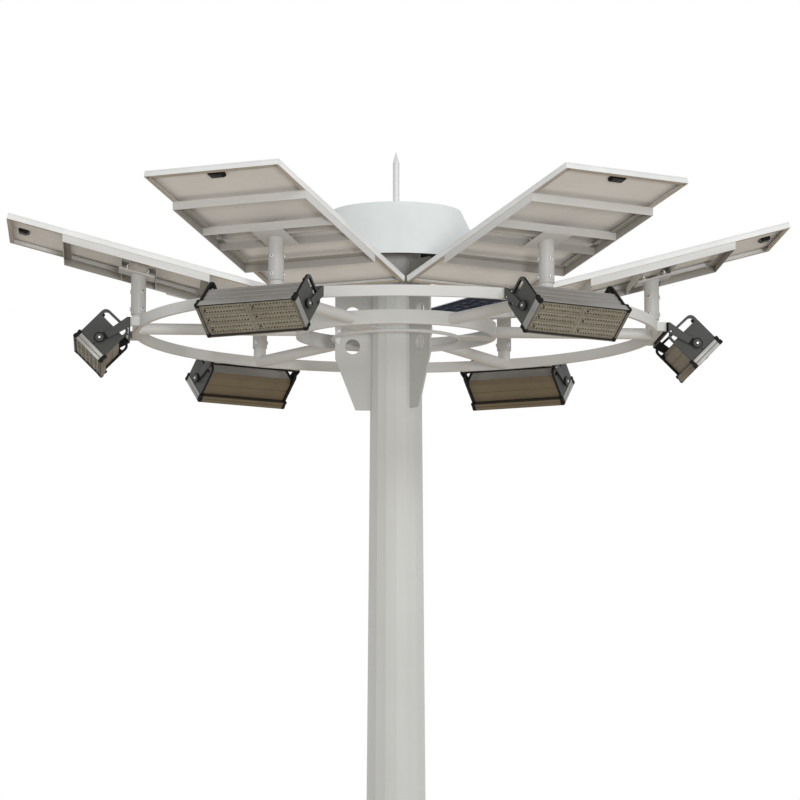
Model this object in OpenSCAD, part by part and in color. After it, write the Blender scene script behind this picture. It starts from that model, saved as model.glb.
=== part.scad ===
// Solar mast light: a tapered sixteen-sided mast that carries a ring head with
// six sloped solar panels and six floodlights that tilt on yokes.
// Millimetres, +Z up. The origin is the centre of the base flange's underside.

/* [Mast] */
// Height of the ring centre plane above the ground
ring_level = 9000; // [6000:50:14000]
// Mast width over corners at the ground
mast_foot_d = 436; // [380:1:600]
// Mast width over corners at the ring centre plane
mast_ring_d = 290; // [250:1:330]
// Mast wall thickness
mast_wall = 6; // [4:0.5:10]
// Turn of the mast's corners about its axis
mast_twist = -3.1; // [-11:0.1:11]

/* [Base flange] */
// Base flange diameter
flange_d = 720; // [600:5:900]
// Base flange thickness
flange_t = 30; // [20:1:50]
// Anchor hole circle diameter
anchor_pcd = 620; // [540:5:800]
// Anchor hole count
anchor_n = 12; // [8:4:16]
// Anchor hole diameter
anchor_d = 36; // [24:1:45]
// Gusset height
gusset_h = 210; // [120:5:320]
// Gusset plate thickness
gusset_t = 12; // [8:1:20]

/* [Access cover] */
// Height of the cover's centre above the ground
cover_level = 900; // [500:10:1500]
// Cover width
cover_w = 132; // [100:1:150]
// Cover height
cover_h = 400; // [250:5:500]
// Cover plate thickness
cover_t = 4; // [3:0.5:6]

/* [Hub] */
// Fin outer edge radius
fin_r = 350; // [300:1:400]
// Fin plate thickness
fin_t = 10; // [8:1:20]
// Fin bottom below the ring plane
fin_drop = 459; // [300:1:600]
// Fin top above the ring plane
fin_rise = 390; // [300:1:450]
// Diameter of the lightening holes in a fin
fin_hole_d = 86; // [50:1:110]
// Hub ring outer radius
hub_ring_r = 372; // [360:1:420]
// Hub ring bar diameter
hub_bar = 20; // [16:1:30]
// Width of the plates from hub ring to inner ring
hub_plate_w = 146; // [100:1:200]
// Thickness of the straps from the fins to the hub ring
strap_t = 6; // [4:1:10]

/* [Rings and arms] */
// Inner ring outer radius
inner_ring_r = 574; // [500:1:650]
// Inner ring height
inner_ring_h = 80; // [60:1:100]
// Inner ring thickness
inner_ring_t = 25; // [12:1:40]
// Outer ring outer radius
outer_ring_r = 1500; // [1400:5:1650]
// Outer ring height
outer_ring_h = 60; // [50:1:80]
// Outer ring thickness
outer_ring_t = 25; // [20:1:40]
// Arm tube diameter
arm_d = 65; // [50:1:80]
// Post tube diameter
post_d = 73; // [60:1:78]

/* [Solar panels] */
// Panel length along the slope
panel_l = 1560; // [1200:5:1700]
// Panel width
panel_w = 808; // [600:1:812]
// Panel frame height
panel_h = 35; // [30:1:50]
// Upward slope of a panel towards its outer end
panel_tilt = 15; // [5:0.5:25]
// Height of the panel underside above the ring plane, over the post
panel_rise = 359; // [320:1:500]
// Length of the support frame along the slope
support_l = 858; // [600:2:1200]
// Depth of the support channels
support_h = 42; // [40:1:80]
// Width of the bearing plate over the sleeve
bearing_w = 186; // [160:2:240]
// Sleeve outer diameter
sleeve_d = 86; // [82:1:100]
// Sleeve lower end above the ring plane
sleeve_z = 80; // [50:1:150]

/* [Floodlights] */
// Floodlight length over the front frame
lamp_l = 610; // [400:5:700]
// Front frame height
lamp_front_h = 222; // [180:2:240]
// Downward aim of the floodlights
lamp_aim = 45; // [30:1:60]
// Tilt axis beyond the outer ring's outer face
pivot_out = 197; // [190:1:250]
// Tilt axis below the ring plane
pivot_drop = 97; // [60:1:120]
// Tilt pin diameter
pin_d = 12; // [8:1:20]

/* [Top] */
// Drum lower radius
drum_r1 = 530; // [450:5:600]
// Drum upper radius
drum_r2 = 375; // [300:5:450]
// Drum lower rim above the ring plane
drum_z1 = 369; // [360:1:500]
// Drum top above the ring plane
drum_z2 = 690; // [640:1:800]
// Lightning rod diameter
rod_d = 38; // [20:1:50]
// Lightning rod tip above the ring plane
rod_tip = 1043; // [850:1:1500]

/* [Hidden] */
sides = 16;
// gap left between welded round pieces
weld_gap = 0.3;
// radial running gap of the tilt pins
pin_gap = 0.05;
// side gap between a floodlight and its yoke
yoke_gap = 7;
arm_angles = [0, 60, 120, 180, 240, 300];
fin_angles = [60, 180, 300];
plate_angles = [0, 120, 240];
taper = (mast_foot_d - mast_ring_d) / ring_level;
drum_wall = 3;
drum_cap_t = 4;
mast_top = ring_level + drum_z2 - drum_cap_t - weld_gap;
post_r = outer_ring_r - 23;
outer_ring_in = outer_ring_r - outer_ring_t;
support_mid = 18;
panel_mid = -6;
channel_t = 4;
channel_w = 46;
plate_t = 8;
// from the bearing plate's edge to the web of the channel beside it
bearing_gap = 12;
// room between the post's top and the bearing plate
post_play = 39;
post_h = panel_rise - support_h - plate_t - post_play;
// hub ring straps: hole from the fin's edge, and its size
strap_hole_in = 22;
strap_hole_d = 10;
// floodlight layout in its own frame: +X is the aim, +Z the front's height
lamp_front_x = 98;
lamp_back_x = 50;
lamp_mid_z = 1;
lamp_rim_w = 12;
end_t = 16;
end_y = lamp_l / 2 - 3;
// farthest point of a handle loop from the tilt axis, and the room left around it
loop_reach = 170.3;
loop_gap = 5;
// yoke layout: +X leads away from the mast, +Z is up
yoke_y = lamp_l / 2 + yoke_gap - 2;
yoke_t = 6;
yoke_plate_t = 10;
yoke_z0 = pivot_drop - 35;
yoke_z1 = pivot_drop + 21;
yoke_base_x = -yoke_plate_t - sqrt(pow(loop_reach + loop_gap, 2) - pow(yoke_z0, 2));
// thin tongue with the pin bore at the end of a yoke arm
tongue_t = 3;
tongue_r = 28;
pivot_r = outer_ring_r + pivot_out;
beam_out = pivot_r + yoke_base_x;
pad_t = 13;
beam_half = yoke_y + yoke_t - 21;
beam_h = 50;
washer_d = 60;
washer_t = 8;
washer_y = yoke_y + tongue_t + 0.5;
ring_fn = 96;
tube_fn = 32;
hole_fn = 24;
// straight pieces in each rounded corner of a plate
corner_n = 4;

// ---------- shared shapes ----------

// corner circle diameter of the mast at a height above the ground
function mast_d(z) = mast_foot_d - taper * z;

// regular section of the mast, with its corners at the radius r
module mast_section(r) {
    polygon([for (i = [0 : sides - 1]) [r * cos(i * 360 / sides), r * sin(i * 360 / sides)]]);
}

// tapered solid with the mast's section, grown by extra on the corner radius
module mast_solid(z0, z1, extra = 0) {
    r0 = mast_d(z0) / 2 + extra;
    r1 = mast_d(z1) / 2 + extra;
    translate([0, 0, z0])
        rotate([0, 0, mast_twist])
            linear_extrude(height = z1 - z0, scale = r1 / r0)
                mast_section(r0);
}

// points of one rounded corner of a plate: b is the corner, a and c its neighbours
function corner(a, b, c, r) =
    let (
        u = (a - b) / norm(a - b),
        w = (c - b) / norm(c - b),
        h = acos(u * w) / 2,
        o = b + (u + w) / norm(u + w) * r / sin(h),
        s = b + u * r / tan(h) - o,
        e = b + w * r / tan(h) - o,
        a0 = atan2(s[1], s[0]),
        d = atan2(e[1], e[0]) - a0,
        t = d > 180 ? d - 360 : (d < -180 ? d + 360 : d)
    )
    [for (k = [0 : corner_n]) o + r * [cos(a0 + t * k / corner_n), sin(a0 + t * k / corner_n)]];

// plate outline from corners given as [x, y, radius]
module rounded(p) {
    n = len(p);
    xy = [for (v = p) [v[0], v[1]]];
    polygon([for (i = [0 : n - 1]) each corner(xy[(i + n - 1) % n], xy[i], xy[(i + 1) % n], p[i][2])]);
}

// rectangular bar rolled to a ring about the Z axis
module bar_ring(r_out, t, h, z) {
    translate([0, 0, z])
        rotate_extrude($fn = ring_fn)
            translate([r_out - t, -h / 2])
                square([t, h]);
}

// places children at one arm of the head, at the ring centre plane
module at_arm(i) {
    translate([0, 0, ring_level])
        rotate([0, 0, arm_angles[i - 1]])
            children();
}

// places children in the sloped frame of a panel: origin over the post on the underside
module at_panel(i) {
    at_arm(i)
        translate([post_r, 0, panel_rise])
            rotate([0, -panel_tilt, 0])
                children();
}

// places children at the tilt axis of a floodlight, untilted
module at_pivot(i) {
    at_arm(i)
        translate([pivot_r, 0, -pivot_drop])
            children();
}

// outline under a panel, from [x, z] points, leaned so that its upright edges are plumb
module plumb_2d(p) {
    polygon([for (v = p) [v[0] + v[1] * tan(panel_tilt), v[1]]]);
}

// channel along a panel: web on the -Y side, flanges towards +Y, ends cut plumb
module long_channel(l) {
    h = support_h;
    difference() {
        translate([0, channel_w, 0])
            rotate([90, 0, 0])
                linear_extrude(height = channel_w)
                    plumb_2d([[-l / 2, -h], [l / 2, -h], [l / 2, 0], [-l / 2, 0]]);
        translate([-l / 2 - h, channel_t, -h + channel_t])
            cube([l + 2 * h, channel_w, h - 2 * channel_t]);
    }
}

// channel across a panel: plumb web at x = 0, flanges towards side * X
module cross_channel(l, side) {
    h = support_h;
    w = side * channel_w;
    t = side * channel_t;
    rotate([90, 0, 0])
        linear_extrude(height = l, center = true)
            plumb_2d([
                [0, 0], [w, 0], [w, -channel_t], [t, -channel_t],
                [t, channel_t - h], [w, channel_t - h], [w, -h], [0, -h]
            ]);
}

// ---------- base and mast ----------

module base_gusset() {
    r0 = mast_ring_d / 2;
    r1 = flange_d / 2 - 12;
    rotate([90, 0, 0])
        translate([0, 0, -gusset_t / 2])
            linear_extrude(height = gusset_t)
                polygon([
                    [r0, flange_t], [r1, flange_t], [r1, flange_t + 25],
                    [mast_foot_d / 2 + 12, flange_t + gusset_h], [r0, flange_t + gusset_h]
                ]);
}

module base_flange() {
    color("gainsboro")
    difference() {
        union() {
            cylinder(h = flange_t, d = flange_d, $fn = 64);
            difference() {
                for (i = [0 : anchor_n - 1])
                    rotate([0, 0, (i + 0.5) * 360 / anchor_n])
                        base_gusset();
                mast_solid(flange_t, flange_t + gusset_h + 20);
            }
        }
        for (i = [0 : anchor_n - 1])
            rotate([0, 0, i * 360 / anchor_n])
                translate([anchor_pcd / 2, 0, -1])
                    cylinder(h = flange_t + 2, d = anchor_d, $fn = hole_fn);
    }
}

// block that marks the access opening, on the side of one mast face
module cover_block(w, h) {
    rotate([0, 0, mast_twist + 22.5 * 12.5])
        translate([mast_ring_d / 3, -w / 2, cover_level - h / 2])
            cube([mast_foot_d / 2, w, h]);
}

module mast_shaft() {
    color("whitesmoke")
    difference() {
        mast_solid(flange_t, mast_top);
        mast_solid(flange_t - 1, mast_top - 8, -mast_wall);
        cover_block(cover_w - 30, cover_h - 40);
    }
}

module access_cover() {
    color("whitesmoke")
    intersection() {
        difference() {
            mast_solid(cover_level - cover_h, cover_level + cover_h, cover_t);
            mast_solid(cover_level - cover_h - 1, cover_level + cover_h + 1);
        }
        cover_block(cover_w, cover_h);
    }
}

// ---------- hub ----------

module hub_fin() {
    difference() {
        rotate([90, 0, 0])
            translate([0, 0, -fin_t / 2])
                linear_extrude(height = fin_t)
                    polygon([
                        [100, -fin_drop], [fin_r * 0.665, -fin_drop], [fin_r, -fin_drop * 0.353],
                        [fin_r, fin_rise], [100, fin_rise]
                    ]);
        for (k = [-1, 0, 1])
            translate([fin_r - 100, 0, 95 + k * 187])
                rotate([90, 0, 0])
                    cylinder(h = fin_t + 2, d = fin_hole_d, center = true, $fn = tube_fn);
        strap_hole();
    }
}

// bolt hole through a fin and its strap, near the fin's outer edge
module strap_hole() {
    translate([fin_r - strap_hole_in, 0, 0])
        rotate([90, 0, 0])
            cylinder(h = 4 * fin_t + 4 * strap_t, d = strap_hole_d, center = true, $fn = hole_fn);
}

module hub_fins() {
    color("whitesmoke")
    difference() {
        translate([0, 0, ring_level])
            for (a = fin_angles)
                rotate([0, 0, a])
                    hub_fin();
        mast_solid(ring_level - fin_drop - 50, ring_level + fin_rise + 50);
    }
}

// strap that hangs beside a fin and holds the hub ring on its outer edge
module hub_strap(z_bar) {
    seat = hub_ring_r - hub_bar + 3;
    difference() {
        translate([0, fin_t / 2 + weld_gap + strap_t, 0])
            rotate([90, 0, 0])
                linear_extrude(height = strap_t)
                    rounded([
                        [fin_r - 38, 22, 8], [fin_r - 6, 22, 8], [seat, z_bar + 14, 6],
                        [seat, z_bar - 4, 4], [fin_r - 10, z_bar - 30, 6], [fin_r - 24, z_bar - 30, 6]
                    ]);
        strap_hole();
    }
}

// ring of round bar, with three plates on it and a strap at each fin
module hub_ring() {
    z_top = -37;
    z_bar = z_top - hub_bar / 2;
    color("whitesmoke")
    translate([0, 0, ring_level]) {
        translate([0, 0, z_bar])
            rotate_extrude($fn = ring_fn)
                translate([hub_ring_r - hub_bar / 2, 0])
                    circle(d = hub_bar, $fn = tube_fn);
        for (a = plate_angles)
            rotate([0, 0, a])
                intersection() {
                    translate([hub_ring_r - hub_bar, -hub_plate_w / 2, z_top - 2])
                        cube([inner_ring_r - hub_ring_r, hub_plate_w, 10]);
                    translate([0, 0, z_top - 3])
                        cylinder(h = 12, r = inner_ring_r - inner_ring_t - weld_gap, $fn = ring_fn);
                }
        for (a = fin_angles)
            rotate([0, 0, a])
                hub_strap(z_bar);
    }
}

// ---------- head frame ----------

module arm_tube() {
    l = outer_ring_in - 0.6 - inner_ring_r + 2;
    translate([inner_ring_r - 2, 0, 0])
        rotate([0, 90, 0])
            cylinder(h = l, d = arm_d, $fn = tube_fn);
}

// upright tube that stands on the arm end and the outer ring
module post_tube() {
    difference() {
        translate([post_r, 0, 0])
            cylinder(h = post_h, d = post_d, $fn = tube_fn);
        translate([outer_ring_in - 4 * weld_gap, -post_d, -1])
            cube([post_d, 2 * post_d, outer_ring_h / 2 + 1 + weld_gap]);
    }
}

// inner ring with six arms and the posts that stand on the arm ends
module arm_spider() {
    color("whitesmoke") {
        translate([0, 0, ring_level])
            bar_ring(inner_ring_r, inner_ring_t, inner_ring_h, 0);
        for (i = [1 : 6])
            at_arm(i) {
                arm_tube();
                post_tube();
            }
    }
}

// flat-faced bar that fills the space from the outer ring to a yoke
module yoke_beam() {
    difference() {
        translate([outer_ring_in - 8, -beam_half, -beam_h / 2])
            cube([beam_out - pad_t - outer_ring_in + 8, 2 * beam_half, beam_h]);
        translate([0, 0, -beam_h])
            cylinder(h = 2 * beam_h, r = outer_ring_r - 2, $fn = ring_fn);
    }
    for (s = [-1, 1])
        translate([beam_out - pad_t - 1, s * (beam_half - 20) - 20, -beam_h / 2])
            cube([pad_t + 1, 40, beam_h]);
}

module outer_ring() {
    color("whitesmoke") {
        translate([0, 0, ring_level])
            bar_ring(outer_ring_r, outer_ring_t, outer_ring_h, 0);
        for (i = [1 : 6])
            at_arm(i)
                yoke_beam();
    }
}

// ---------- top ----------

module drum_shell() {
    h = drum_z2 - drum_z1;
    k = (drum_r1 - drum_r2) / h;
    color("gainsboro")
    translate([0, 0, ring_level + drum_z1])
        rotate_extrude($fn = ring_fn)
            polygon([
                [drum_r1 - 28, 0], [drum_r1, 0], [drum_r2, h], [0, h], [0, h - drum_cap_t],
                [drum_r2 - drum_wall + drum_cap_t * k, h - drum_cap_t],
                [drum_r1 - drum_wall - drum_wall * k, drum_wall], [drum_r1 - 28, drum_wall]
            ]);
}

module lightning_rod() {
    z0 = drum_z2;
    tip_h = 63;
    color("silver")
    translate([0, 0, ring_level + z0])
        rotate_extrude($fn = tube_fn)
            polygon([
                [0, 0], [50, 0], [50, 8], [rod_d / 2, 8], [rod_d / 2, rod_tip - z0 - tip_h],
                [2, rod_tip - z0], [0, rod_tip - z0]
            ]);
}

// ---------- solar panels ----------

// sleeve, bearing plate and the frame of channels under one panel
module panel_support(i) {
    half_w = panel_w / 2;
    color("whitesmoke") {
        difference() {
            at_arm(i)
                translate([post_r, 0, sleeve_z])
                    cylinder(h = panel_rise - sleeve_z, d = sleeve_d, $fn = tube_fn);
            at_arm(i)
                translate([post_r, 0, sleeve_z - 1])
                    cylinder(h = panel_rise, d = post_d + 2 * weld_gap, $fn = tube_fn);
            at_panel(i)
                translate([-bearing_w, -bearing_w, -support_h - plate_t + 1])
                    cube([2 * bearing_w, 2 * bearing_w, bearing_w]);
        }
        at_panel(i) {
            translate([-bearing_w / 2, -bearing_w / 2, -support_h - plate_t])
                cube([bearing_w, bearing_w, plate_t]);
            for (s = [0, 1])
                mirror([0, s, 0])
                    translate([support_mid, -half_w, 0])
                        long_channel(support_l);
            for (s = [-1, 1])
                for (x = [support_mid + s * support_l / 2, s * (bearing_w / 2 + bearing_gap)])
                    translate([x, 0, 0])
                        cross_channel(panel_w - 2 * channel_t, -s);
        }
    }
}

// rim of drawn section round one panel
module panel_frame(i) {
    lip = 27;
    color("silver")
    at_panel(i)
        translate([panel_mid - panel_l / 2, -panel_w / 2, 0])
            difference() {
                cube([panel_l, panel_w, panel_h]);
                translate([2, 2, 2])
                    cube([panel_l - 4, panel_w - 4, panel_h - 9]);
                translate([lip, lip, -1])
                    cube([panel_l - 2 * lip, panel_w - 2 * lip, panel_h]);
                translate([2, 2, panel_h - 6])
                    cube([panel_l - 4, panel_w - 4, 5]);
                translate([10, 10, panel_h - 8])
                    cube([panel_l - 20, panel_w - 20, 10]);
            }
}

// glass, cells and back sheet of one panel, with the junction box beneath
module panel_laminate(i) {
    color("midnightblue")
    at_panel(i)
        translate([panel_mid - panel_l / 2, -panel_w / 2, 0]) {
            translate([2.5, 2.5, panel_h - 6])
                cube([panel_l - 5, panel_w - 5, 5]);
            translate([panel_l - 130, panel_w / 2 - 55, panel_h - 28])
                cube([60, 110, 23]);
        }
}

// ---------- floodlights ----------

// U-shaped bracket: upright back plate and two sloping arms, each with a tongue at its end
module lamp_yoke(i) {
    color("dimgray")
    at_pivot(i)
        difference() {
            union() {
                translate([yoke_base_x, -yoke_y - yoke_t, yoke_z0])
                    cube([yoke_plate_t, 2 * (yoke_y + yoke_t), yoke_z1 - yoke_z0]);
                for (s = [0, 1])
                    mirror([0, s, 0]) {
                        translate([0, yoke_y + yoke_t, 0])
                            rotate([90, 0, 0])
                                linear_extrude(height = yoke_t)
                                    polygon([
                                        [yoke_base_x, yoke_z0], [-51, -3], [-29, 28], [-119, 92],
                                        [-156, yoke_z1], [yoke_base_x, yoke_z1]
                                    ]);
                        translate([0, yoke_y + tongue_t, 0])
                            rotate([90, 0, 0])
                                linear_extrude(height = tongue_t) {
                                    polygon([[-52, -3], [-8, -27], [8, 27], [-30, 28]]);
                                    circle(r = tongue_r, $fn = tube_fn);
                                }
                    }
            }
            rotate([90, 0, 0])
                cylinder(h = lamp_l + 100, d = pin_d + 2 * pin_gap, center = true, $fn = tube_fn);
        }
}

// end plate outline with its handle loop, in the floodlight's own frame
module end_plate_2d() {
    difference() {
        rounded([[lamp_back_x, -95, 6], [lamp_back_x, 100, 8], [-150, 100, 25], [-155, -95, 32]]);
        rounded([[-102, -80, 5], [-102, 74, 5], [-135, 74, 15], [-138, -80, 20]]);
    }
}

// drawn body section of a floodlight, seen along its length
module body_2d() {
    polygon([
        [lamp_back_x, -82], [lamp_back_x, 92], [20, 92], [16, 88], [12, 92], [-20, 92],
        [-24, 88], [-28, 92], [-58, 92], [-62, 88], [-66, 92], [-92, 70], [-96, 30],
        [-91, 26], [-96, 22], [-96, -30], [-91, -34], [-96, -38], [-96, -62], [-78, -82],
        [-40, -82], [-36, -78], [-32, -82]
    ]);
}

// body, end plates with handle loops, and the pins the floodlight tilts on
module lamp_housing(i) {
    color("gray")
    at_pivot(i)
        rotate([0, lamp_aim, 0]) {
            rotate([90, 0, 0])
                linear_extrude(height = 2 * (end_y - end_t - weld_gap), center = true)
                    body_2d();
            for (s = [0, 1])
                mirror([0, s, 0]) {
                    translate([0, end_y, 0])
                        rotate([90, 0, 0])
                            linear_extrude(height = end_t)
                                end_plate_2d();
                    translate([0, end_y - 1, 0])
                        rotate([-90, 0, 0]) {
                            cylinder(h = yoke_y - end_y + 0.5, d = 40, $fn = tube_fn);
                            cylinder(h = washer_y - end_y + 2, d = pin_d, $fn = tube_fn);
                        }
                    translate([0, washer_y, 0])
                        rotate([-90, 0, 0]) {
                            cylinder(h = washer_t, d = washer_d, $fn = tube_fn);
                            cylinder(h = washer_t + 6, d = 20, $fn = 6);
                        }
                }
        }
}

// rounded rectangle about the origin, h high along X and l long along Y
module face_2d(h, l, r) {
    rounded([[-h / 2, -l / 2, r], [h / 2, -l / 2, r], [h / 2, l / 2, r], [-h / 2, l / 2, r]]);
}

// front frame with the lens set into it
module lamp_front(i) {
    depth = lamp_front_x - lamp_back_x;
    color("silver")
    at_pivot(i)
        rotate([0, lamp_aim, 0])
            translate([lamp_front_x, 0, lamp_mid_z])
                rotate([0, -90, 0])
                    difference() {
                        linear_extrude(height = depth)
                            face_2d(lamp_front_h, lamp_l, 6);
                        translate([0, 0, -1])
                            linear_extrude(height = 6)
                                face_2d(lamp_front_h - 2 * lamp_rim_w, lamp_l - 2 * lamp_rim_w, 4);
                    }
}

base_flange();
mast_shaft();
access_cover();
hub_fins();
hub_ring();
arm_spider();
outer_ring();
drum_shell();
lightning_rod();
panel_support(1);  // panel_support_1
panel_support(2);  // panel_support_2
panel_support(3);  // panel_support_3
panel_support(4);  // panel_support_4
panel_support(5);  // panel_support_5
panel_support(6);  // panel_support_6
panel_frame(1);  // panel_frame_1
panel_frame(2);  // panel_frame_2
panel_frame(3);  // panel_frame_3
panel_frame(4);  // panel_frame_4
panel_frame(5);  // panel_frame_5
panel_frame(6);  // panel_frame_6
panel_laminate(1);  // panel_laminate_1
panel_laminate(2);  // panel_laminate_2
panel_laminate(3);  // panel_laminate_3
panel_laminate(4);  // panel_laminate_4
panel_laminate(5);  // panel_laminate_5
panel_laminate(6);  // panel_laminate_6
lamp_yoke(1);  // lamp_yoke_1
lamp_yoke(2);  // lamp_yoke_2
lamp_yoke(3);  // lamp_yoke_3
lamp_yoke(4);  // lamp_yoke_4
lamp_yoke(5);  // lamp_yoke_5
lamp_yoke(6);  // lamp_yoke_6
lamp_housing(1);  // lamp_housing_1
lamp_housing(2);  // lamp_housing_2
lamp_housing(3);  // lamp_housing_3
lamp_housing(4);  // lamp_housing_4
lamp_housing(5);  // lamp_housing_5
lamp_housing(6);  // lamp_housing_6
lamp_front(1);  // lamp_front_1
lamp_front(2);  // lamp_front_2
lamp_front(3);  // lamp_front_3
lamp_front(4);  // lamp_front_4
lamp_front(5);  // lamp_front_5
lamp_front(6);  // lamp_front_6
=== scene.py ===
"""Solar mast light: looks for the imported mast, ring head, solar panels and floodlights."""

import math

import bmesh
import bpy
from mathutils import Matrix, Vector


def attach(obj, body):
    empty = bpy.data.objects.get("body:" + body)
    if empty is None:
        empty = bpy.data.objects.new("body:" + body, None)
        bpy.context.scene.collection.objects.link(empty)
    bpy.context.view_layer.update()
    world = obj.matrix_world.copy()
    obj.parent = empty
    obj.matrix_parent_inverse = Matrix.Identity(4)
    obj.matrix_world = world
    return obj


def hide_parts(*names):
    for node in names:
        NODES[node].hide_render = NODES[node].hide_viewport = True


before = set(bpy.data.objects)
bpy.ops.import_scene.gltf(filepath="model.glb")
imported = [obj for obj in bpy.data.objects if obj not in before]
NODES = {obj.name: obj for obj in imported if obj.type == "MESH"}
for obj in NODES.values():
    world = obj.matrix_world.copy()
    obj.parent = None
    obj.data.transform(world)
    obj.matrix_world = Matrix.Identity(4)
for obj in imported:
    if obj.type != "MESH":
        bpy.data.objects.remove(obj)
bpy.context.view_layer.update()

# ---------------------------------- sizes, in metres

# head: height of the ring plane, the arms, and the posts on their ends with their sleeves
RING_Z = 9.0
ARMS = (1, 2, 3, 4, 5, 6)
POST_R = 1.477
SLEEVE_R, SLEEVE_WALL, SLEEVE_LOW = 0.043, 0.0062, 0.080
SET_BOLT_ROWS, SET_BOLT_TURNS = (0.113, 0.213), (0, 120, 240)

# solar panel, in its sloped frame, with the rhythm of its cells, busbars and silver fingers
PANEL_RISE, PANEL_TILT = 0.359, 15.0
PANEL_L, PANEL_W, PANEL_H = 1.560, 0.808, 0.035
PANEL_MID = -0.006
PANEL_X0, PANEL_X1, PANEL_Y1 = PANEL_MID - PANEL_L / 2, PANEL_MID + PANEL_L / 2, PANEL_W / 2
CELLS_LONG, CELLS_WIDE, CELL_PITCH = 12, 6, 0.1275
CELL_SHIFT = 8 * CELL_PITCH
BUSBAR_PITCH, BUSBAR_HALF = CELL_PITCH / 3, 0.0008
FINGER_PITCH, FINGER_W = 0.0024, 0.00045

# angles and bearing plate under a panel, with the plate's bolts
SUPPORT_MID, SUPPORT_L, SUPPORT_H = 0.018, 0.858, 0.042
SUPPORT_X0, SUPPORT_X1 = SUPPORT_MID - SUPPORT_L / 2, SUPPORT_MID + SUPPORT_L / 2
ANGLE_T, ANGLE_W = 0.004, 0.046
BEARING_X, BEARING_Y, BEARING_T = 0.105, 0.093, 0.008
PLATE_BOLT_X, PLATE_BOLT_Y = 0.062, 0.066

# floodlight, in its own frame: X the way it shines, Y along the tilt axis
PIVOT_R, PIVOT_DROP = 1.697, 0.097
LAMP_AIM = 45.0
LAMP_L = 0.610
LAMP_FRONT_X, LAMP_BACK_X = 0.098, 0.050
LAMP_LOW, LAMP_HIGH = -0.110, 0.112
END_Y, END_T = 0.302, 0.016

# yoke, in the frame of its pivot: inner and outer side of its arms, its back plate
YOKE_IN, YOKE_OUT, TONGUE_OUT = 0.310, 0.316, 0.313
YOKE_BACK, YOKE_FACE = -0.174, -0.164
YOKE_LOW, YOKE_HIGH = 0.062, 0.118

# drum: heights and radii of its lower and upper end, and how deep its outer coat reaches before the
# painted shade inside
DRUM_Z1, DRUM_Z2 = RING_Z + 0.369, RING_Z + 0.690
DRUM_R1, DRUM_R2 = 0.530, 0.375
DRUM_SKIN, LID_SKIN = 0.0016, 0.002

# mast: width over corners at the foot and at the ring, its weld, and the access cover on a flat
MAST_SIDES, MAST_TURN = 16, -3.1
MAST_FOOT_D, MAST_RING_D = 0.436, 0.290
FLAT = 360 / MAST_SIDES
WELD_X, WELD_HALF = 0.004, 0.0045
COVER_Z, COVER_OUT = 0.900, 0.004
COVER_TURN = math.radians(MAST_TURN + FLAT * 12.5)


# ---------------------------------- places on the head

def arm_place(i):
    """The frame of one arm: X outwards, Z up, origin at the ring centre."""
    return Matrix.Translation((0, 0, RING_Z)) @ Matrix.Rotation(math.radians(60 * (i - 1)), 4, "Z")


def panel_place(i):
    """The sloped frame of one panel: origin over its post, on the rim's underside."""
    slope = Matrix.Rotation(math.radians(-PANEL_TILT), 4, "Y")
    return arm_place(i) @ Matrix.Translation((POST_R, 0, PANEL_RISE)) @ slope


def pivot_place(i):
    """The frame of one yoke: origin on the tilt axis, X outwards, Z up."""
    return arm_place(i) @ Matrix.Translation((PIVOT_R, 0, -PIVOT_DROP))


def lamp_place(i):
    """The frame of one floodlight: origin on the tilt axis, X the way it shines."""
    return pivot_place(i) @ Matrix.Rotation(math.radians(LAMP_AIM), 4, "Y")


# ---------------------------------- shader maths

class Value:
    """A socket in a node tree, so that shader maths reads as plain expressions."""

    def __init__(self, shop, socket):
        self.shop, self.socket = shop, socket

    def _math(self, operation, *others, flip=False):
        values = [self, *others]
        if flip:
            values.reverse()
        return self.shop.node("ShaderNodeMath", {"operation": operation}, dict(enumerate(values)))

    def __add__(self, other):
        return self._math("ADD", other)

    def __sub__(self, other):
        return self._math("SUBTRACT", other)

    def __rsub__(self, other):
        return self._math("SUBTRACT", other, flip=True)

    def __mul__(self, other):
        return self._math("MULTIPLY", other)

    __radd__, __rmul__ = __add__, __mul__

    def __gt__(self, other):
        return self._math("GREATER_THAN", other)

    def __lt__(self, other):
        return self._math("LESS_THAN", other)

    def __mod__(self, other):
        return self._math("FLOORED_MODULO", other)

    def __pow__(self, other):
        return self._math("POWER", other)

    def size(self):
        return self._math("ABSOLUTE")

    def sine(self):
        return self._math("SINE")

    def larger(self, other):
        return self._math("MAXIMUM", other)

    def output(self, key):
        """Another output of the node that this value comes from."""
        return Value(self.shop, self.socket.node.outputs[key])


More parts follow.
